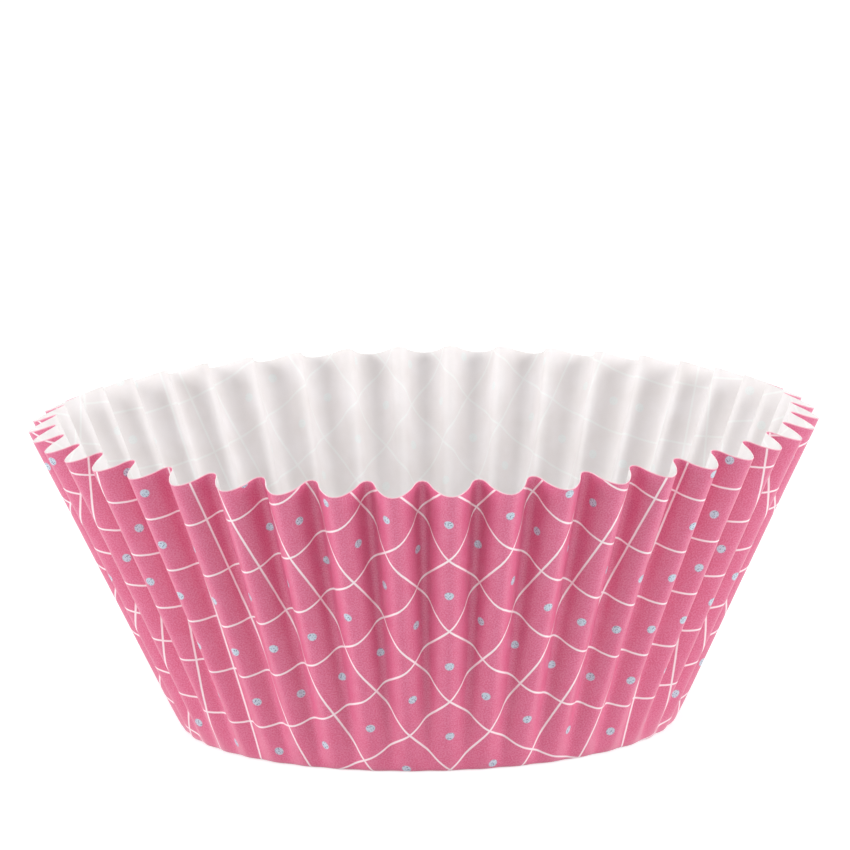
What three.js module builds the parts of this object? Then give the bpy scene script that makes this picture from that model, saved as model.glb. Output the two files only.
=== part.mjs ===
// A fluted baking cup, pressed from one round sheet of greaseproof paper.
// Millimetres, +Z up. The origin is the centre of the underside, and the front of the cup faces -Y.

import * as THREE from "three";

// Driving dimensions

const BASE_DIAMETER = 50.8; // across the fold between the flat base and the wall
const WALL_HEIGHT = 31.8; // from the underside to the middle of the waved rim
const WALL_LEAN = THREE.MathUtils.degToRad(22.9); // how far the wall leans out at the fold
const RIM_FLARE = 0.45; // how far the curving wall's rim stands out from a straight wall's
const PAPER_THICKNESS = 0.06;
const FLUTE_COUNT = 43;
const FIRST_CREST = THREE.MathUtils.degToRad(-4.5); // from the front to the crest beside it

// How finely the sheet is faceted

const FACETS_PER_FLUTE = 8;
const WALL_ROWS = 5;
const ROW_CROWDING = 2; // rows stand closer near the fold, where the flutes open fastest
const WAVE_TERMS = 5; // terms of the sums that give a flute's section

// Colours

const PRINTED_PINK = new THREE.Color("#d6587a"); // the printed outer face
const PAPER_WHITE = new THREE.Color("#e8f0ec"); // the unprinted inner face

// Sizes that follow from the driving dimensions

const FOLD_RADIUS = BASE_DIAMETER / 2;
const HALF_THICKNESS = PAPER_THICKNESS / 2;
const RIM_DROP = RIM_FLARE * Math.tan(WALL_LEAN); // what the flare takes off the wall's height
const WALL_SLANT = (WALL_HEIGHT - HALF_THICKNESS + RIM_DROP) / Math.cos(WALL_LEAN);
const RING_POINTS = FLUTE_COUNT * FACETS_PER_FLUTE;

// The Bessel function of the first kind, as the mean of its integrand over one turn.
function bessel(order, x) {
  const samples = 32;
  let sum = 0;
  for (let i = 0; i < samples; i += 1) {
    const turn = (2 * Math.PI * i) / samples;
    sum += Math.cos(order * turn - x * Math.sin(turn));
  }
  return sum / samples;
}

// The steepest angle of a flute whose paper is `fullness` times as long as the wall is round.
// The slope swings as a sine along the paper, so the width it covers is its Bessel function.
function steepestSlope(fullness) {
  if (fullness <= 1) {
    return 0;
  }
  let slope = Math.min(2 * Math.sqrt(fullness - 1), 2);
  for (let i = 0; i < 12; i += 1) {
    slope += (bessel(0, slope) - 1 / fullness) / bessel(1, slope);
  }
  return slope;
}

// How far a flute shifts the paper along the wall and out of it, as shares of the flute's width.
// The phase runs through one turn per flute, from crest to crest.
function fluteShift(slope, phase) {
  const scale = 1 / (Math.PI * bessel(0, slope));
  let along = 0;
  let out = 0;
  for (let k = 1; k <= WAVE_TERMS; k += 1) {
    const weight = (scale * bessel(k, slope)) / k;
    if (k % 2 === 0) {
      along += weight * Math.sin(k * phase);
    } else {
      out += weight * Math.cos(k * phase);
    }
  }
  return { along, out };
}

// A point of the paper's middle surface, a distance up the wall from the fold.
// On the flat sheet the same point lies that far outside the fold circle, at angle `turn`.
function wallPoint(distance, turn) {
  const flared = (distance / WALL_SLANT) ** 2;
  const radius = FOLD_RADIUS + distance * Math.sin(WALL_LEAN) + flared * RIM_FLARE;
  const height = HALF_THICKNESS + distance * Math.cos(WALL_LEAN) - flared * RIM_DROP;
  const fullness = (FOLD_RADIUS + distance) / radius;
  const shift = fluteShift(steepestSlope(fullness), FLUTE_COUNT * turn);
  const angle = FIRST_CREST + turn + (2 * Math.PI * shift.along) / FLUTE_COUNT;
  const out = (2 * Math.PI * radius * shift.out) / FLUTE_COUNT;
  return ringPoint(radius + out * Math.cos(WALL_LEAN), height - out * Math.sin(WALL_LEAN), angle);
}

// A point at a radius and height, at an angle that runs from the front towards +X.
function ringPoint(radius, height, angle) {
  return new THREE.Vector3(radius * Math.sin(angle), -radius * Math.cos(angle), height);
}

// The direction out of the paper's printed face at a place on the wall.
function wallNormal(distance, turn) {
  const step = 1e-4;
  const around = wallPoint(distance, turn + step).sub(wallPoint(distance, turn - step));
  const upward = wallPoint(distance + step, turn).sub(wallPoint(distance - step, turn));
  return around.cross(upward).normalize();
}

function turnsOfRing() {
  return Array.from({ length: RING_POINTS }, (_, i) => (2 * Math.PI * i) / RING_POINTS);
}

// One ring of a face of the paper. `side` is 1 on the printed outer face and -1 on the inner face.
function wallRing(distance, side) {
  return turnsOfRing().map((turn) =>
    wallPoint(distance, turn).addScaledVector(wallNormal(distance, turn), side * HALF_THICKNESS),
  );
}

// The fold's ring on a face of the paper, where the flat base meets the wall at a mitre.
function foldRing(side) {
  const mitre = (HALF_THICKNESS * (1 - Math.sin(WALL_LEAN))) / Math.cos(WALL_LEAN);
  const radius = FOLD_RADIUS + side * mitre;
  const height = HALF_THICKNESS - side * HALF_THICKNESS;
  return turnsOfRing().map((turn) => ringPoint(radius, height, FIRST_CREST + turn));
}

// All rings of one face of the paper, from the fold up to the rim.
function faceRings(side) {
  const rings = [foldRing(side)];
  for (let row = 1; row <= WALL_ROWS; row += 1) {
    rings.push(wallRing(WALL_SLANT * (row / WALL_ROWS) ** ROW_CROWDING, side));
  }
  return rings;
}

// A closed surface through rings of equally many points, from the first pole to the last.
// Each ring and pole has its own colour.
function closedLoft(firstPole, rings, lastPole, colours) {
  const points = [firstPole, ...rings.flat(), lastPole];
  const ringColours = rings.flatMap((ring, i) => ring.map(() => colours[i]));
  const pointColours = [colours[0], ...ringColours, colours[colours.length - 1]];
  const count = rings[0].length;
  const last = points.length - 1;
  const at = (ring, i) => 1 + ring * count + (i % count);
  const faces = [];
  for (let i = 0; i < count; i += 1) {
    faces.push(0, at(0, i + 1), at(0, i));
    for (let ring = 1; ring < rings.length; ring += 1) {
      faces.push(at(ring - 1, i), at(ring - 1, i + 1), at(ring, i + 1));
      faces.push(at(ring - 1, i), at(ring, i + 1), at(ring, i));
    }
    faces.push(last, at(rings.length - 1, i), at(rings.length - 1, i + 1));
  }
  const geometry = new THREE.BufferGeometry().setFromPoints(points);
  const channels = pointColours.flatMap((colour) => colour.toArray());
  geometry.setAttribute("color", new THREE.Float32BufferAttribute(channels, 3));
  geometry.setIndex(faces);
  geometry.computeVertexNormals();
  return geometry;
}

// The whole sheet: its printed face from the middle of the underside out to the rim, and back
// inside over the cut edge to the middle of the base.
function cupGeometry() {
  const outer = faceRings(1);
  const inner = faceRings(-1).reverse();
  const colours = [...outer.map(() => PRINTED_PINK), ...inner.map(() => PAPER_WHITE)];
  const underside = new THREE.Vector3(0, 0, 0);
  const floor = new THREE.Vector3(0, 0, PAPER_THICKNESS);
  return closedLoft(underside, [...outer, ...inner], floor, colours);
}

const paper = new THREE.MeshStandardMaterial({ vertexColors: true, roughness: 0.75, metalness: 0 });
paper.name = "printed greaseproof paper";

const bakingCup = new THREE.Mesh(cupGeometry(), paper);
bakingCup.name = "baking_cup";

const part = new THREE.Group();
part.name = "greaseproof_baking_cup";
part.add(bakingCup);

export default part;
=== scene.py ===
"""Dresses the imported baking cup: a printed sheet of greaseproof paper, fluted and flared.

The cup's shape follows one rule. A flat round sheet keeps its middle as the base, and the rest
leans up as a wall. The wall is less wide round than the paper is long, so the paper gathers into
equal flutes, which deepen towards the rim. The print was on the flat sheet, so it follows them.
"""

from __future__ import annotations

import logging
import math
from dataclasses import dataclass
from enum import Enum
from typing import Any

import bpy
import numpy as np
from mathutils import Matrix, Vector


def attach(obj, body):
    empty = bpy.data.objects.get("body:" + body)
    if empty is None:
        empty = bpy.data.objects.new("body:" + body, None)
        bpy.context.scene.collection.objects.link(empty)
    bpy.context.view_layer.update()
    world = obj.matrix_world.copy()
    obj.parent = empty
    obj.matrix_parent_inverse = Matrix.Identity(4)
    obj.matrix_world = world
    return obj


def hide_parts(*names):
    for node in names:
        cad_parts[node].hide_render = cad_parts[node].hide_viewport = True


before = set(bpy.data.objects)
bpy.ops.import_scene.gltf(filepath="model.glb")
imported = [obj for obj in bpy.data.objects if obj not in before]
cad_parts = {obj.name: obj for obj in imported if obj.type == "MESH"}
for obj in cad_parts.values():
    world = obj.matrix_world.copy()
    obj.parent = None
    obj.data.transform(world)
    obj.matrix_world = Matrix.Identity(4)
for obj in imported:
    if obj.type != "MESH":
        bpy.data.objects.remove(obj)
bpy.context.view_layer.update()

LOG = logging.getLogger("baking_cup")
MM = 0.001
PHOTO_PIXELS = 850
CUP_NODE = "baking_cup"
SHEET_MAP = "flat_sheet"  # the cup's UV map, in which the round sheet fills the unit square
FLUTE_COUNT = 43
WALL_LEAN = math.radians(22.9)  # how far the wall leans out at the fold
CUP_MIDDLE = Vector((0, 0, 15 * MM))
TOUCHING = 0.001 * MM  # points closer than this are one point
LEVEL = 0.01 * MM  # heights closer than this are one height


def linear(hex_colour: str) -> tuple[float, float, float, float]:
    """Turn an sRGB hex colour into linear red, green, blue and alpha.

    Args:
        hex_colour: A hash and six hex digits.

    Returns:
        Linear channels from 0 to 1, with an alpha of 1.
    """
    channels = [int(hex_colour[i : i + 2], 16) / 255 for i in (1, 3, 5)]
    red, green, blue = [
        c / 12.92 if c <= 0.04045 else ((c + 0.055) / 1.055) ** 2.4 for c in channels
    ]
    return red, green, blue, 1.0


def add_node(
    tree: bpy.types.NodeTree, kind: str, links: dict[int | str, Any], **settings: Any
) -> bpy.types.Node:
    """Add a node to a tree, with its settings and what goes into its sockets.

    Args:
        tree: The node tree that gets the node.
        kind: The node's type name.
        links: Socket index or name to a Field, a socket, a list of sockets or a plain value.
        settings: Properties of the node itself.

    Returns:
        The new node.
    """
    node = tree.nodes.new(kind)
    for name, value in settings.items():
        setattr(node, name, value)
    for key, value in links.items():
        sources = value if isinstance(value, list) else [value]
        for source in sources:
            if isinstance(source, Field):
                source = source.socket
            if isinstance(source, bpy.types.NodeSocket):
                tree.links.new(source, node.inputs[key])
            else:
                node.inputs[key].default_value = source
    return node


@dataclass(frozen=True)
class Field:
    """A number that varies over a surface, so that a tree's arithmetic reads as arithmetic."""

    tree: bpy.types.NodeTree
    socket: bpy.types.NodeSocket

    def math(self, operation: str, *others: Any) -> Field:
        """Combine this number with others.

        Args:
            operation: The name of the operation in a Math node.
            others: The other operands, in order.

        Returns:
            The result, as a number of the same tree.
        """
        operands = dict(enumerate((self, *others)))
        node = add_node(self.tree, "ShaderNodeMath", operands, operation=operation)
        return Field(self.tree, node.outputs[0])

    def __add__(self, other: Any) -> Field:
        """Return the sum."""
        return self.math("ADD", other)

    def __sub__(self, other: Any) -> Field:
        """Return the difference."""
        return self.math("SUBTRACT", other)

    def __rsub__(self, other: float) -> Field:
        """Return the difference from a plain number."""
        return self.math("MULTIPLY_ADD", -1.0, other)

    def __mul__(self, other: Any) -> Field:
        """Return the product."""
        return self.math("MULTIPLY", other)

    def __truediv__(self, other: Any) -> Field:
        """Return the quotient."""
        return self.math("DIVIDE", other)

    __radd__ = __add__
    __rmul__ = __mul__

    def series(self, *factors: float) -> Field:
        """Sum a power series of this number.

        Args:
            factors: The factor of each power, from the constant upwards.

        Returns:
            The sum.
        """
        total = self * factors[-1]
        for factor in factors[-2:0:-1]:
            total = (total + factor) * self
        return total + factors[0]

    def fade(self, start: float, end: float) -> Field:
        """Fall smoothly from 1 to 0 as this number goes from start to end.

        Args:
            start: Where the fall starts.
            end: Where it ends.

        Returns:
            The faded number.
        """
        links = {0: self, 1: start, 2: end, 3: 1.0, 4: 0.0}
        node = add_node(self.tree, "ShaderNodeMapRange", links, interpolation_type="SMOOTHSTEP")
        return Field(self.tree, node.outputs[0])


def parts_of(tree: bpy.types.NodeTree, vector: bpy.types.NodeSocket) -> list[Field]:
    """Split a vector into its three numbers.

    Args:
        tree: The vector's tree.
        vector: The vector or colour.

    Returns:
        Its three numbers.
    """
    node = add_node(tree, "ShaderNodeSeparateXYZ", {0: vector})
    return [Field(tree, socket) for socket in node.outputs]


def vector_of(tree: bpy.types.NodeTree, x: Any, y: Any, z: Any) -> bpy.types.NodeSocket:
    """Join three numbers into a vector.

    Args:
        tree: The tree that gets the vector.
        x: The first number.
        y: The second number.
        z: The third number.

    Returns:
        The vector.
    """
    return add_node(tree, "ShaderNodeCombineXYZ", {0: x, 1: y, 2: z}).outputs[0]


def blended(tree: bpy.types.NodeTree, amount: Any, under: Any, over: Any) -> bpy.types.NodeSocket:
    """Lay one colour over another.

    Args:
        tree: The material's tree.
        amount: How much of the upper colour covers the lower, from 0 to 1.
        under: The lower colour.
        over: The upper colour.

    Returns:
        The blended colour.
    """
    node = add_node(tree, "ShaderNodeMix", {0: amount, 6: under, 7: over}, data_type="RGBA")
    return node.outputs[2]


def noise_at(tree: bpy.types.NodeTree, place: Any, size: Any, detail: float) -> bpy.types.Node:
    """Vary numbers over a place without a pattern.

    Args:
        tree: The tree that gets the noise.
        place: The place, as a vector.
        size: The width of a patch, in the place's unit.
        detail: How many finer layers lie on it.

    Returns:
        The noise node, whose outputs swing around a half.
    """
    scale = size.math("POWER", -1.0) if isinstance(size, Field) else 1 / size
    links = {"Vector": place, "Scale": scale, "Detail": detail}
    return add_node(tree, "ShaderNodeTexNoise", links)


class Face(Enum):
    """The kinds of surface that a cut sheet of printed paper has."""

    PLAIN = "plain"
    PRINTED = "printed"
    CUT = "cut"


@dataclass(frozen=True)
class Lattice:
    """The print's layout on the flat sheet: square cells between thin lines, a dot in each.

    Attributes:
        cell: The side of a cell, in mm, as are the other lengths.
        turn: From the sheet's front to the cells' rows, in degrees.
        shift: From the sheet's middle to a dot, along and across the rows.
        line_width: The width of a line.
        dot_width: The width of a dot.
        bleed: How far an edge of ink fades into the paper.
        waver: How far the lines stray from straight.
        waver_size: How long a stray is.
    """

    cell: float = 6.259
    turn: float = 42.36
    shift: tuple[float, float] = (3.088, 1.839)
    line_width: float = 0.21
    dot_width: float = 0.93
    bleed: float = 0.05
    waver: float = 0.05
    waver_size: float = 0.9

    def masks(self, tree: bpy.types.NodeTree, sheet: bpy.types.NodeSocket) -> tuple[Field, Field]:
        """Find where the lines and the dots are.

        Args:
            tree: The material's tree.
            sheet: The place on the flat sheet, in mm.

        Returns:
            How much of each place is line, and how much is dot.
        """
        stray = noise_at(tree, sheet, self.waver_size, 2.0).outputs["Color"]
        links = {0: stray, 1: (self.waver,) * 3, 2: sheet}
        strayed = add_node(tree, "ShaderNodeVectorMath", links, operation="MULTIPLY_ADD")
        rows = add_node(
            tree,
            "ShaderNodeMapping",
            {
                "Vector": strayed.outputs[0],
                "Location": (-self.shift[0] / self.cell, -self.shift[1] / self.cell, 0),
                "Rotation": (0, 0, -math.radians(self.turn)),
                "Scale": (1 / self.cell,) * 3,
            },
        )
        across, along, _ = parts_of(tree, rows.outputs[0])
        off_across = across.math("PINGPONG", 0.5)
        off_along = along.math("PINGPONG", 0.5)
        to_line = (0.5 - off_across.math("MAXIMUM", off_along)) * self.cell
        to_dot = (off_across * off_across + off_along * off_along).math("SQRT") * self.cell
        line_edge = self.line_width / 2
        dot_edge = self.dot_width / 2
        lines = to_line.fade(line_edge - self.bleed, line_edge + self.bleed)
        dots = to_dot.fade(dot_edge - self.bleed, dot_edge + self.bleed)
        return lines, dots


@dataclass(frozen=True)
class Stock:
    """The paper that every finish lies on: its cut size and its relief.

    Attributes:
        diameter: The flat sheet's diameter, in mm.
        fibre: The height of its fibres, in mm.
        fibre_size: The width of a fibre bundle, coarser than real so that it shows, in mm.
        buckle: The height of its shallow buckles, in mm.
        buckle_size: The width of a buckle, in mm.
    """

    diameter: float
    fibre: float = 0.004
    fibre_size: float = 0.22
    buckle: float = 0.012
    buckle_size: float = 2.6

    def place(self, tree: bpy.types.NodeTree) -> bpy.types.NodeSocket:
        """Find the place on the flat sheet, from its middle.

        Args:
            tree: The material's tree.

        Returns:
            The place, in mm.
        """
        unit = add_node(tree, "ShaderNodeUVMap", {}, uv_map=SHEET_MAP).outputs[0]
        middle = (-self.diameter / 2, -self.diameter / 2, 0)
        links = {"Vector": unit, "Location": middle, "Scale": (self.diameter,) * 3}
        return add_node(tree, "ShaderNodeMapping", links).outputs[0]

    def relief(self, tree: bpy.types.NodeTree, sheet: bpy.types.NodeSocket) -> bpy.types.NodeSocket:
        """Raise the paper's fibres and buckles.

        Args:
            tree: The material's tree.
            sheet: The place on the flat sheet, in mm.

        Returns:
            The normal of the paper.
        """
        fibres = Field(tree, noise_at(tree, sheet, self.fibre_size, 3.0).outputs["Fac"])
        buckles = Field(tree, noise_at(tree, sheet, self.buckle_size, 1.0).outputs["Fac"])
        height = fibres * (self.fibre * MM) + buckles * (self.buckle * MM)
        links = {"Strength": 1.0, "Distance": 1.0, "Height": height}
        return add_node(tree, "ShaderNodeBump", links).outputs[0]

    def finish(self, name: str, **looks: float) -> bpy.types.Material:
        """Start a material of this paper.

        Args:
            name: The material's name.
            looks: Constants of its Principled shader, which is left as the tree's active node.

        Returns:
            The material.
        """
        material = bpy.data.materials.new(name)
        material.use_nodes = True
        tree = material.node_tree
        tree.nodes.clear()
        shader = add_node(tree, "ShaderNodeBsdfPrincipled", looks)
        add_node(tree, "ShaderNodeOutputMaterial", {"Surface": shader.outputs[0]})
        tree.nodes.active = shader
        return material


@dataclass(frozen=True)
class PrintedFace:
    """The outer face: greaseproof paper with pink ink, thin unprinted lines and pale dots.

    The paper is beaten hard and calendered, so the ink lies smooth. The eye gets a soft satin
    that whitens towards the light, and the fine grain of a film of ink on fibre. A pale band
    along the rim is a painted highlight.
    """

    stock: Stock
    lattice: Lattice
    pink: str = "#de789b"
    heavy_pink: str = "#d65a83"
    line_white: str = "#fff0f4"
    dot_blue: str = "#c6dce8"
    dot_speck: str = "#6c839c"
    # the colour of the painted highlight along the rim
    painted_rim_highlight: str = "#f3b7c6"
    grain_size: float = 0.16  # in mm, coarser than real grain, which is too fine to show
    grain_contrast: float = 3.6
    mottle_size: float = 1.6
    mottle_contrast: float = 1.0
    dot_cover: float = 0.94  # how much of the paper a dot's ink hides
    dot_breaks: tuple[float, float] = (0.46, 0.36)  # the grain between which it breaks up
    highlight_band: tuple[float, float] = (0.144, 0.036)  # where the painted rim highlight starts and where it is full, from the cut, in mm

    def colour(self, tree: bpy.types.NodeTree, sheet: bpy.types.NodeSocket) -> bpy.types.NodeSocket:
        """Draw the print.

        Args:
            tree: The material's tree.
            sheet: The place on the flat sheet, in mm.

        Returns:
            The print's colour.
        """
        grain = Field(tree, noise_at(tree, sheet, self.grain_size, 1.0).outputs["Fac"])
        mottle = Field(tree, noise_at(tree, sheet, self.mottle_size, 2.0).outputs["Fac"])
        mottling = (mottle - 0.5) * self.mottle_contrast
        weight = (grain - 0.5) * self.grain_contrast + mottling + 0.5
        ink = blended(tree, weight, linear(self.pink), linear(self.heavy_pink))
        lines, dots = self.lattice.masks(tree, sheet)
        with_lines = blended(tree, lines, ink, linear(self.line_white))
        unbroken = grain.fade(*self.dot_breaks)
        dot = blended(tree, unbroken, linear(self.dot_speck), linear(self.dot_blue))
        return blended(tree, dots * self.dot_cover, with_lines, dot)

    def build(self) -> bpy.types.Material:
        """Make the material.

        Returns:
            The printed face's material.
        """
        material = self.stock.finish(
            "printed_greaseproof_paper",
            **{"Roughness": 0.5, "IOR": 1.5, "Coat Weight": 0.8, "Coat Roughness": 0.4},
        )
        tree = material.node_tree
        shader = tree.nodes.active
        sheet = self.stock.place(tree)
        across, along, _ = parts_of(tree, sheet)
        reach = (across * across + along * along).math("SQRT")
        cut = self.stock.diameter / 2
        # paint a pale highlight along the rim, full near the cut and fading inwards
        unhighlighted = reach.fade(cut - self.highlight_band[0], cut - self.highlight_band[1])
        printed = blended(tree, unhighlighted, linear(self.painted_rim_highlight), self.colour(tree, sheet))
        tree.links.new(printed, shader.inputs["Base Color"])
        tree.links.new(self.stock.relief(tree, sheet), shader.inputs["Normal"])
        return material


@dataclass(frozen=True)
class PlainFace:
    """The inner face: the bare greaseproof paper, a slightly cloudy white.

    The paper is thin enough for the print on its back to show through as a faint pink.
    """

    stock: Stock
    back: PrintedFace
    white: str = "#ebedec"
    cloud: str = "#e3e4e1"
    show_through: float = 0.08
    cloud_size: float = 3.5  # in mm
    cloud_contrast: float = 2.4
    cloudiness: float = 0.4

    def build(self) -> bpy.types.Material:
        """Make the material.

        Returns:
            The plain face's material.
        """
        material = self.stock.finish("plain_greaseproof_paper", Roughness=0.6, IOR=1.5)
        tree = material.node_tree
        shader = tree.nodes.active
        sheet = self.stock.place(tree)
        noise = Field(tree, noise_at(tree, sheet, self.cloud_size, 4.0).outputs["Fac"])
        cloudy = (noise - 0.5) * self.cloud_contrast + self.cloudiness
        paper = blended(tree, cloudy, linear(self.white), linear(self.cloud))
        tinted = blended(tree, self.show_through, paper, self.back.colour(tree, sheet))
        tree.links.new(tinted, shader.inputs["Base Color"])
        tree.links.new(self.stock.relief(tree, sheet), shader.inputs["Normal"])
        return material


@dataclass(frozen=True)
class CutEdge:
    """The sheet's cut edge: bare fibre, which the eye sees as a fine pale thread on the rim."""

    stock: Stock
    fibre: str = "#f6dfe3"
    shaded: str = "#e9c3cc"
    fibre_size: float = 0.3  # in mm

    def build(self) -> bpy.types.Material:
        """Make the material.

        Returns:
            The cut edge's material.
        """
        material = self.stock.finish("cut_paper_fibre", Roughness=0.85, IOR=1.5)
        tree = material.node_tree
        place = add_node(tree, "ShaderNodeTexCoord", {}).outputs["Object"]
        noise = noise_at(tree, place, self.fibre_size * MM, 2.0).outputs["Fac"]
        colour = blended(tree, noise, linear(self.fibre), linear(self.shaded))
        tree.links.new(colour, tree.nodes.active.inputs["Base Color"])
        return material


class CupInput(Enum):
    """The inputs of the cup's tree, each by its name in the tree."""

    FOLD_RADIUS = "Fold Radius"
    WALL_SLANT = "Wall Slant"
    WALL_LEAN = "Wall Lean"
    FLUTE_COUNT = "Flute Count"
    FIRST_CREST = "First Crest"
    RIM_FLARE = "Rim Flare"
    PAPER_THICKNESS = "Paper Thickness"
    FOLD_SOFTNESS = "Fold Softness"
    FLUTE_COLUMNS = "Columns in a Flute"
    WALL_ROWS = "Rows on the Wall"
    BASE_ROWS = "Rows on the Base"
    SPACING_WAVER = "Waver of the Spacing"
    DEPTH_WAVER = "Waver of the Depth"
    RIM_SWAY = "Sway of the Rim"
    BUCKLE_HEIGHT = "Buckle Height"
    BUCKLE_SIZE = "Buckle Size"
    SEED = "Seed"


@dataclass(frozen=True)
class Sheet:
    """The flat sheet's grid in the tree, and where each of its points is on the round sheet.

    Attributes:
        geometry: The grid, with its map stored on it.
        turn: The angle round the sheet, from the first crest.
        reach: The distance from the sheet's middle.
        climb: The share of the way from the fold to the rim.
    """

    geometry: bpy.types.NodeSocket
    turn: Field
    reach: Field
    climb: Field


@dataclass(frozen=True)
class FluteSection:
    """A flute's section: the path of the paper through one flute, from crest to crest.

    The paper doesn't stretch, so the section follows from how its slope swings along it. The
    path's waves are found for many depths, and each is kept as a power series of the share of
    the paper's length that the flute takes up.

    Attributes:
        swing: The slope's waves, each as a share: the second makes the creases sharper than
            the crests, and the third straightens the flanks.
        terms: How many waves of the path are kept.
        powers: The highest power in a series.
        steepest: The steepest slope of the shallowest flute and of the deepest, in radians.
        depths: How many depths of flute the series are fitted to.
        samples: How many places along a flute's paper are looked at.
    """

    swing: tuple[float, ...] = (1.0, -0.15, 0.15)
    terms: int = 5
    powers: int = 4
    steepest: tuple[float, float] = (0.05, 1.45)
    depths: int = 40
    samples: int = 96

    def path(self, gathered: Field, phase: Field) -> tuple[Field, Field]:
        """Follow the paper through a flute.

        Args:
            gathered: The share of the paper's length that the flute takes up.
            phase: The place along the paper, which turns once from crest to crest.

        Returns:
            How far the paper shifts along the wall, as a share of the flute's width, and how far
            it stands out, as a share of the flute's paper.
        """
        phases = np.linspace(0, math.tau, self.samples, endpoint=False)
        swing = sum(share * np.sin((n + 1) * phases) for n, share in enumerate(self.swing))
        slopes = np.linspace(*self.steepest, self.depths)[:, np.newaxis] * swing
        taken = 1 - np.cos(slopes).mean(axis=1)
        root = gathered.math("SQRT")
        along, out = gathered * 0.0, gathered * 0.0
        for n in range(1, self.terms + 1):
            shift = (np.cos(slopes) * np.cos(n * phases)).mean(axis=1) / (math.pi * n)
            stand = (np.sin(slopes) * np.sin(n * phases)).mean(axis=1) / (math.pi * n)
            shift_factors = self.fitted(taken, shift / (1 - taken) / taken)
            stand_factors = self.fitted(taken, stand / np.sqrt(taken))
            turned = phase * n
            along = along + gathered * gathered.series(*shift_factors) * turned.math("SINE")
            out = out + root * gathered.series(*stand_factors) * turned.math("COSINE")
        return along, out

    def fitted(self, taken: np.ndarray, values: np.ndarray) -> list[float]:
        """Fit a power series.

        Args:
            taken: The numbers whose powers the series sums.
            values: What the series comes to at each.

        Returns:
            The factor of each power, from the constant upwards.
        """
        return np.polynomial.polynomial.polyfit(taken, values, self.powers).tolist()


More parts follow.
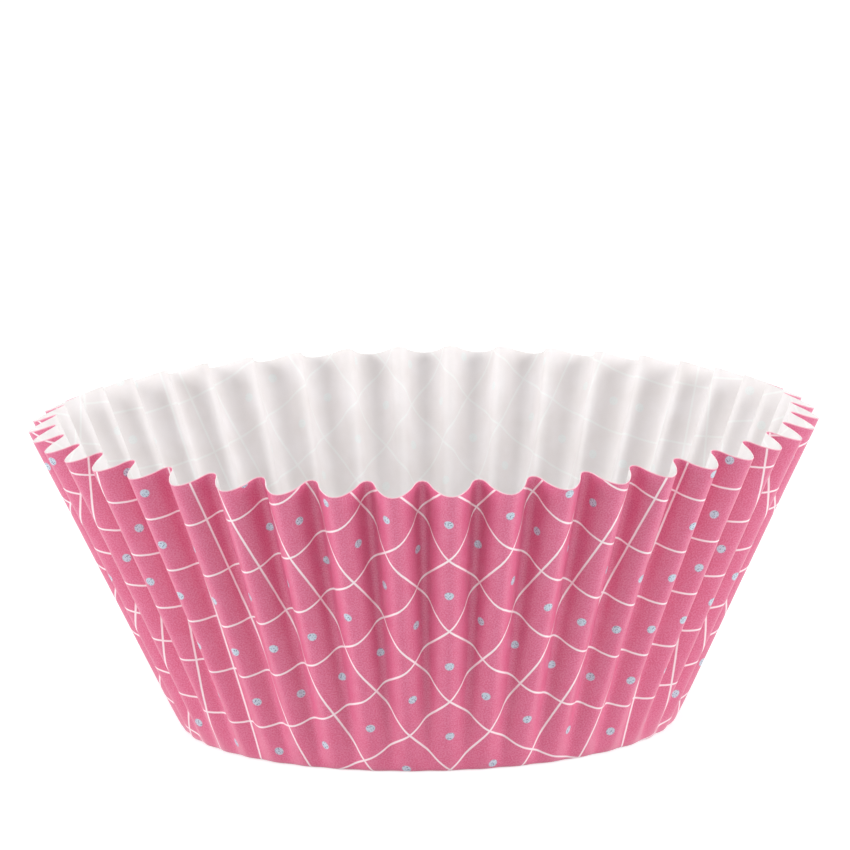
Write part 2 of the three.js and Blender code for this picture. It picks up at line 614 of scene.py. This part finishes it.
@dataclass(frozen=True)
class FlutedCup:
    """The cup: one round sheet of paper, flat in the middle and gathered into a fluted wall.

    Attributes:
        fold_radius: From the axis to the fold round the base, in metres, as are other lengths.
        rim_radius: From the axis to the middle of the waved rim.
        rim_height: The height of the middle of the rim.
        first_crest: From the front to the nearest crest, in radians.
        flute_count: How many flutes the wall has.
        wall_lean: How far the wall leans out at the fold, in radians.
        section: The flutes' section.
        paper_thickness: The thickness of the paper.
        fold_softness: How wide the bend round the base is.
        flute_columns: Columns of faces in a flute.
        wall_rows: Rows of faces from the fold to the rim.
        base_rows: Rows of faces from the middle to the fold.
        row_crowding: How much closer the rows stand near the fold.
        spacing_waver: How far the flutes stray from even spacing, in radians of a flute.
        depth_waver: How far the flutes' depth strays, as a share.
        rim_sway: How far the rim's flutes lean aside, in radians round the cup.
        buckle_height: The height of the paper's shallow buckles.
        buckle_size: The width of a buckle.
        seed: The seed of what strays.
        stray_pace: How many strays follow each other over a flute.
        stray_swing: What brings a stray to about -1 to 1.
        crisp_angle: The bend past which an edge stays crisp, as the cut edge does.
    """

    fold_radius: float
    rim_radius: float
    rim_height: float
    first_crest: float
    flute_count: int
    wall_lean: float
    section: FluteSection = FluteSection()
    paper_thickness: float = 0.06 * MM
    fold_softness: float = 0.3 * MM
    flute_columns: int = 20
    wall_rows: int = 36
    base_rows: int = 10
    row_crowding: float = 1.6
    spacing_waver: float = 0.08
    depth_waver: float = 0.05
    rim_sway: float = 0.002
    buckle_height: float = 0.1 * MM
    buckle_size: float = 5 * MM
    seed: float = 3.7
    stray_pace: float = 0.9
    stray_swing: float = 3.0
    crisp_angle: float = math.radians(50)

    @classmethod
    def like(cls, node: bpy.types.Object, flute_count: int, wall_lean: float) -> FlutedCup:
        """Take the cup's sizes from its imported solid.

        Args:
            node: The solid's object.
            flute_count: How many flutes the wall has.
            wall_lean: How far the wall leans out at the fold, in radians.

        Returns:
            A cup of the same sizes.
        """
        points = [vertex.co for vertex in node.data.vertices]
        underside = min(point.z for point in points) + LEVEL
        crest = max(points, key=lambda point: point.xy.length)
        valley = max(points, key=lambda point: point.z)
        flute = math.tau / flute_count
        crest_turn = math.atan2(crest.x, -crest.y) + flute / 2
        return cls(
            fold_radius=max(point.xy.length for point in points if point.z < underside),
            rim_radius=(crest.xy.length + valley.xy.length) / 2,
            rim_height=(crest.z + valley.z) / 2,
            first_crest=crest_turn % flute - flute / 2,
            flute_count=flute_count,
            wall_lean=wall_lean,
        )

    @property
    def wall_slant(self) -> float:
        """The length of paper from the fold to the rim."""
        widening = self.rim_radius - self.fold_radius
        rise = self.rim_height - self.paper_thickness / 2
        return rise * math.cos(self.wall_lean) + widening * math.sin(self.wall_lean)

    @property
    def rim_flare(self) -> float:
        """How far the curving wall's rim stands out from a straight wall's."""
        straight = self.wall_slant * math.sin(self.wall_lean)
        return self.rim_radius - self.fold_radius - straight

    @property
    def sheet_diameter(self) -> float:
        """The diameter of the flat sheet."""
        return 2 * (self.fold_radius + self.wall_slant)

    def inputs(self) -> dict[CupInput, float]:
        """List the values of the tree's inputs."""
        return {
            CupInput.FOLD_RADIUS: self.fold_radius,
            CupInput.WALL_SLANT: self.wall_slant,
            CupInput.WALL_LEAN: self.wall_lean,
            CupInput.FLUTE_COUNT: self.flute_count,
            CupInput.FIRST_CREST: self.first_crest,
            CupInput.RIM_FLARE: self.rim_flare,
            CupInput.PAPER_THICKNESS: self.paper_thickness,
            CupInput.FOLD_SOFTNESS: self.fold_softness,
            CupInput.FLUTE_COLUMNS: self.flute_columns,
            CupInput.WALL_ROWS: self.wall_rows,
            CupInput.BASE_ROWS: self.base_rows,
            CupInput.SPACING_WAVER: self.spacing_waver,
            CupInput.DEPTH_WAVER: self.depth_waver,
            CupInput.RIM_SWAY: self.rim_sway,
            CupInput.BUCKLE_HEIGHT: self.buckle_height,
            CupInput.BUCKLE_SIZE: self.buckle_size,
            CupInput.SEED: self.seed,
        }

    def flat_sheet(self, tree: bpy.types.NodeTree, given: dict[CupInput, Field]) -> Sheet:
        """Lay out the sheet as a grid that will be wrapped round its middle.

        Args:
            tree: The cup's tree.
            given: The tree's inputs.

        Returns:
            The sheet, with its map stored on it.
        """
        base_rows = given[CupInput.BASE_ROWS]
        wall_rows = given[CupInput.WALL_ROWS]
        rows = base_rows + wall_rows
        columns = given[CupInput.FLUTE_COUNT] * given[CupInput.FLUTE_COLUMNS]
        grid = add_node(tree, "GeometryNodeMeshGrid", {0: 1.0, 1: 1.0, 2: columns + 1, 3: rows + 1})
        x, y, _ = parts_of(tree, add_node(tree, "GeometryNodeInputPosition", {}).outputs[0])
        turn = (x + 0.5) * math.tau
        row = (y + 0.5) * rows
        to_fold = 1 - (row / base_rows).math("MINIMUM", 1.0)
        on_base = 1 - to_fold * to_fold
        up_wall = ((row - base_rows) / wall_rows).math("MAXIMUM", 0.0)
        climb = up_wall.math("POWER", self.row_crowding)
        reach = on_base * given[CupInput.FOLD_RADIUS] + climb * given[CupInput.WALL_SLANT]
        share = reach / ((given[CupInput.FOLD_RADIUS] + given[CupInput.WALL_SLANT]) * 2)
        angle = turn + given[CupInput.FIRST_CREST]
        right = angle.math("SINE") * share + 0.5
        front = angle.math("COSINE") * share + 0.5
        stored = add_node(
            tree,
            "GeometryNodeStoreNamedAttribute",
            {
                "Geometry": grid.outputs["Mesh"],
                "Name": SHEET_MAP,
                "Value": vector_of(tree, right, front, 0.0),
            },
            data_type="FLOAT2",
            domain="CORNER",
        )
        return Sheet(stored.outputs[0], turn, reach, climb)

    def stray(
        self, tree: bpy.types.NodeTree, given: dict[CupInput, Field], turn: Field
    ) -> list[Field]:
        """Find how each flute strays from the rule.

        Args:
            tree: The cup's tree.
            given: The tree's inputs.
            turn: The angle round the sheet.

        Returns:
            Three numbers from about -1 to 1 that change from flute to flute.
        """
        ring = given[CupInput.FLUTE_COUNT] * (self.stray_pace / math.tau)
        right = turn.math("SINE") * ring
        front = turn.math("COSINE") * ring
        place = vector_of(tree, right, front, given[CupInput.SEED])
        parts = parts_of(tree, noise_at(tree, place, 1.0, 0.0).outputs["Color"])
        return [(part - 0.5) * self.stray_swing for part in parts]

    def pressed(
        self, tree: bpy.types.NodeTree, given: dict[CupInput, Field], sheet: Sheet
    ) -> bpy.types.NodeSocket:
        """Press the sheet into a base and a fluted wall, with no stretch round it or up it.

        Args:
            tree: The cup's tree.
            given: The tree's inputs.
            sheet: The flat sheet.

        Returns:
            The place of each point of the paper's middle surface.
        """
        lean_sine = given[CupInput.WALL_LEAN].math("SINE")
        lean_cosine = given[CupInput.WALL_LEAN].math("COSINE")
        softness = given[CupInput.FOLD_SOFTNESS]
        past_fold = sheet.reach - given[CupInput.FOLD_RADIUS]
        lift = (past_fold + (past_fold * past_fold + softness * softness).math("SQRT")) * 0.5
        flare = sheet.climb * sheet.climb * given[CupInput.RIM_FLARE]
        radius = sheet.reach - lift * (1 - lean_sine) + flare
        wall_height = lift * lean_cosine - flare * lean_sine / lean_cosine
        height = wall_height + given[CupInput.PAPER_THICKNESS] * 0.5

        count = given[CupInput.FLUTE_COUNT]
        spacing, depth, sway = self.stray(tree, given, sheet.turn)
        phase = sheet.turn * count + spacing * given[CupInput.SPACING_WAVER]
        spread = (radius / (sheet.reach + TOUCHING)).math("MINIMUM", 1.0)
        along, wave = self.section.path(1 - spread, phase)
        depth_share = depth * given[CupInput.DEPTH_WAVER] + 1
        offset = wave * depth_share * sheet.reach / count * math.tau
        bent_turn = sheet.turn + along / count * math.tau
        swayed = bent_turn + sway * sheet.climb * given[CupInput.RIM_SWAY]
        angle = swayed + given[CupInput.FIRST_CREST]

        out = radius + offset * lean_cosine
        up = height - offset * lean_sine
        right = angle.math("SINE")
        front = angle.math("COSINE") * -1.0
        smooth = vector_of(tree, right * out, front * out, up)
        buckling = noise_at(tree, smooth, given[CupInput.BUCKLE_SIZE], 1.0)
        buckles = Field(tree, buckling.outputs["Fac"])
        buckled = out + (buckles - 0.5) * sheet.climb * given[CupInput.BUCKLE_HEIGHT]
        return vector_of(tree, right * buckled, front * buckled, up)

    def tree(self, finishes: dict[Face, bpy.types.Material]) -> bpy.types.NodeTree:
        """Build the tree of Geometry Nodes that presses the cup and gives its paper two faces.

        Args:
            finishes: The material of each kind of surface.

        Returns:
            The tree.
        """
        tree = bpy.data.node_groups.new("pressed_paper_cup", "GeometryNodeTree")
        tree.interface.new_socket("Geometry", in_out="OUTPUT", socket_type="NodeSocketGeometry")
        for name, value in self.inputs().items():
            kind = "NodeSocketInt" if isinstance(value, int) else "NodeSocketFloat"
            tree.interface.new_socket(name.value, in_out="INPUT", socket_type=kind)
        ports = add_node(tree, "NodeGroupInput", {})
        given = {name: Field(tree, ports.outputs[name.value]) for name in CupInput}

        sheet = self.flat_sheet(tree, given)
        place = self.pressed(tree, given, sheet)
        wrapped = add_node(tree, "GeometryNodeSetPosition", {0: sheet.geometry, "Position": place})
        links = {"Geometry": wrapped.outputs[0], "Distance": TOUCHING}
        closed = add_node(tree, "GeometryNodeMergeByDistance", links)

        thickness = given[CupInput.PAPER_THICKNESS]
        normal = add_node(tree, "GeometryNodeInputNormal", {}).outputs[0]
        links = {0: normal, "Scale": thickness * -0.5}
        inward = add_node(tree, "ShaderNodeVectorMath", links, operation="SCALE")
        links = {0: closed.outputs[0], "Offset": inward.outputs[0]}
        inner = add_node(tree, "GeometryNodeSetPosition", links).outputs[0]
        links = {"Mesh": inner, "Offset Scale": thickness, "Individual": False}
        outer = add_node(tree, "GeometryNodeExtrudeMesh", links)
        flipped = add_node(tree, "GeometryNodeFlipFaces", {0: inner})
        sides = [outer.outputs[0], flipped.outputs[0]]
        both = add_node(tree, "GeometryNodeJoinGeometry", {0: sides})
        links = {"Geometry": both.outputs[0], "Distance": TOUCHING}
        welded = add_node(tree, "GeometryNodeMergeByDistance", links)
        smooth = add_node(tree, "GeometryNodeSetShadeSmooth", {0: welded.outputs[0]})

        done = add_node(tree, "GeometryNodeRealizeInstances", {0: smooth.outputs[0]})
        selections = {Face.PLAIN: True, Face.PRINTED: outer.outputs[1], Face.CUT: outer.outputs[2]}
        for face, selection in selections.items():
            links = {0: done.outputs[0], "Selection": selection, "Material": finishes[face]}
            done = add_node(tree, "GeometryNodeSetMaterial", links)
        add_node(tree, "NodeGroupOutput", {0: done.outputs[0]})
        return tree

    def dress(self) -> dict[Face, bpy.types.Material]:
        """Make the paper's finishes.

        Returns:
            The material of each kind of surface.
        """
        stock = Stock(self.sheet_diameter / MM)
        printed = PrintedFace(stock, Lattice())
        return {
            Face.PLAIN: PlainFace(stock, printed).build(),
            Face.PRINTED: printed.build(),
            Face.CUT: CutEdge(stock).build(),
        }

    def build(self) -> bpy.types.Object:
        """Press the cup, as one plain mesh.

        Returns:
            The cup's object.
        """
        tree = self.tree(self.dress())
        piece = bpy.data.objects.new("printed_baking_cup", bpy.data.meshes.new("unpressed"))
        bpy.context.scene.collection.objects.link(piece)
        modifier = piece.modifiers.new("press", "NODES")
        modifier.node_group = tree
        sockets = {s.name: s.identifier for s in tree.interface.items_tree if s.in_out == "INPUT"}
        for name, value in self.inputs().items():
            modifier[sockets[name.value]] = value
        depsgraph = bpy.context.evaluated_depsgraph_get()
        mesh = bpy.data.meshes.new_from_object(
            piece.evaluated_get(depsgraph), preserve_all_data_layers=True, depsgraph=depsgraph
        )
        piece.modifiers.remove(modifier)
        mesh.materials.pop(index=0)  # the slot that the grid brings, which is empty
        piece.data = mesh
        mesh.name = "printed_baking_cup"
        mesh.set_sharp_from_angle(angle=self.crisp_angle)
        LOG.info("%s: %d faces, %d materials", piece.name, len(mesh.polygons), len(mesh.materials))
        return piece


@dataclass(frozen=True)
class PhotoCamera:
    """The camera, as a fit of the cup's outline, flutes and print to the photograph gives it.

    Attributes:
        focal_pixels: The focal length, in pixels of the photograph.
        back: From the cup's axis to the camera, in mm.
        height: The camera's height, in mm.
        pitch: How far it looks down, in radians, as are the other angles.
        yaw: How far it looks to the right.
        roll: How far it is tilted.
        sensor: The sensor's width, in mm.
    """

    focal_pixels: float = 9754.45
    back: float = 987.64
    height: float = 215.716
    pitch: float = 0.184952
    yaw: float = 0.000145
    roll: float = -0.01852
    sensor: float = 36.0

    def build(self) -> bpy.types.Object:
        """Place the camera.

        Returns:
            The camera's object.
        """
        data = bpy.data.cameras.new("photo_camera")
        data.sensor_width = self.sensor
        data.lens = self.focal_pixels * self.sensor / PHOTO_PIXELS
        data.clip_start = 0.05
        data.clip_end = 50.0
        flat = math.cos(self.pitch)
        forward = Vector(
            (math.sin(self.yaw) * flat, math.cos(self.yaw) * flat, -math.sin(self.pitch))
        )
        level = forward.cross(Vector((0, 0, 1))).normalized()
        upright = level.cross(forward)
        right = level * math.cos(self.roll) + upright * math.sin(self.roll)
        up = upright * math.cos(self.roll) - level * math.sin(self.roll)
        camera = bpy.data.objects.new("photo_camera", data)
        camera.matrix_world = (
            Matrix.Translation((0, -self.back * MM, self.height * MM))
            @ Matrix((right, up, -forward)).transposed().to_4x4()
        )
        bpy.context.scene.collection.objects.link(camera)
        bpy.context.scene.camera = camera
        return camera


@dataclass(frozen=True)
class Softbox:
    """A square area light that faces the middle of the cup.

    Attributes:
        name: What it does.
        azimuth: From the front towards the right, in degrees.
        elevation: Above the horizon, in degrees.
        distance: From the cup, in metres.
        width: Its side, in metres.
        power: Its power, in watts.
    """

    name: str
    azimuth: float
    elevation: float
    distance: float
    width: float
    power: float

    def build(self) -> bpy.types.Object:
        """Place the light.

        Returns:
            The light's object.
        """
        data = bpy.data.lights.new(self.name, "AREA")
        data.size = self.width
        data.energy = self.power
        turn, rise = math.radians(self.azimuth), math.radians(self.elevation)
        away = Vector(
            (math.sin(turn) * math.cos(rise), -math.cos(turn) * math.cos(rise), math.sin(rise))
        )
        light = bpy.data.objects.new(self.name, data)
        light.location = away * self.distance + CUP_MIDDLE
        light.rotation_mode = "QUATERNION"
        light.rotation_quaternion = away.to_track_quat("Z", "Y")
        light.visible_camera = False
        bpy.context.scene.collection.objects.link(light)
        return light


@dataclass(frozen=True)
class Studio:
    """A bright white surround with a softbox on each side, and the camera.

    Attributes:
        ambient: The radiance that the surround lights the cup with.
        floor_colour: The floor's colour.
        floor_lift: What is added to the floor where the eye sees it, so that only shade shows.
        floor_width: The floor's side, in metres.
        floor_gap: How far the floor lies below the cup's underside.
        softboxes: The lights.
    """

    ambient: float = 0.46
    floor_colour: str = "#c4c4c4"
    floor_lift: float = 0.7
    floor_width: float = 8.0
    floor_gap: float = 0.02 * MM
    softboxes: tuple[Softbox, ...] = (
        Softbox("left_softbox", -68, 10, 0.8, 0.7, 6.9),
        Softbox("right_softbox", 68, 10, 0.8, 0.7, 6.9),
        Softbox("top_softbox", 0, 80, 0.9, 0.8, 2.7),
    )

    def seen(self, tree: bpy.types.NodeTree) -> Field:
        """Find the rays that the eye sees, directly or in a mirror.

        Args:
            tree: The tree that gets the number.

        Returns:
            1 for those rays and 0 for others.
        """
        outputs = add_node(tree, "ShaderNodeLightPath", {}).outputs
        camera, glossy = Field(tree, outputs["Is Camera Ray"]), outputs["Is Glossy Ray"]
        return camera.math("MAXIMUM", glossy).math("MAXIMUM", outputs["Is Transmission Ray"])

    def build_world(self) -> None:
        """Make the surround white to the eye and dimmer as a light."""
        world = bpy.data.worlds.new("white_surround")
        bpy.context.scene.world = world
        world.use_nodes = True
        tree = world.node_tree
        tree.nodes.clear()
        strength = self.seen(tree) * (1 - self.ambient) + self.ambient
        links = {"Color": (1.0, 1.0, 1.0, 1.0), "Strength": strength}
        background = add_node(tree, "ShaderNodeBackground", links)
        add_node(tree, "ShaderNodeOutputWorld", {"Surface": background.outputs[0]})

    def build_floor(self) -> bpy.types.Object:
        """Lay the white floor.

        Returns:
            The floor's object.
        """
        half = self.floor_width / 2
        corners = ((-half, -half), (half, -half), (half, half), (-half, half))
        points = [(x, y, -self.floor_gap) for x, y in corners]
        mesh = bpy.data.meshes.new("white_floor")
        mesh.from_pydata(points, [], [(0, 1, 2, 3)])
        floor = bpy.data.objects.new("white_floor", mesh)
        bpy.context.scene.collection.objects.link(floor)
        material = bpy.data.materials.new("white_card")
        material.use_nodes = True
        tree = material.node_tree
        tree.nodes.clear()
        card = add_node(tree, "ShaderNodeBsdfDiffuse", {"Color": linear(self.floor_colour)})
        links = {"Color": (1.0, 1.0, 1.0, 1.0), "Strength": self.seen(tree) * self.floor_lift}
        lift = add_node(tree, "ShaderNodeEmission", links)
        both = add_node(tree, "ShaderNodeAddShader", {0: card.outputs[0], 1: lift.outputs[0]})
        add_node(tree, "ShaderNodeOutputMaterial", {"Surface": both.outputs[0]})
        mesh.materials.append(material)
        return floor

    def build(self) -> None:
        """Set up the surround, the floor, the lights and the camera."""
        bpy.context.scene.view_settings.view_transform = "Standard"
        self.build_world()
        self.build_floor()
        for softbox in self.softboxes:
            softbox.build()
        PhotoCamera().build()
        LOG.info("studio: %d softboxes on a white floor", len(self.softboxes))


def main() -> None:
    """Build the cup and the studio, and tie the cup to the frame."""
    logging.basicConfig(level=logging.INFO, format="%(name)s: %(message)s")
    cup = FlutedCup.like(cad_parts[CUP_NODE], FLUTE_COUNT, WALL_LEAN)
    piece = cup.build()
    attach(piece, "root")
    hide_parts(CUP_NODE)
    Studio().build()


if __name__ == "__main__":
    main()
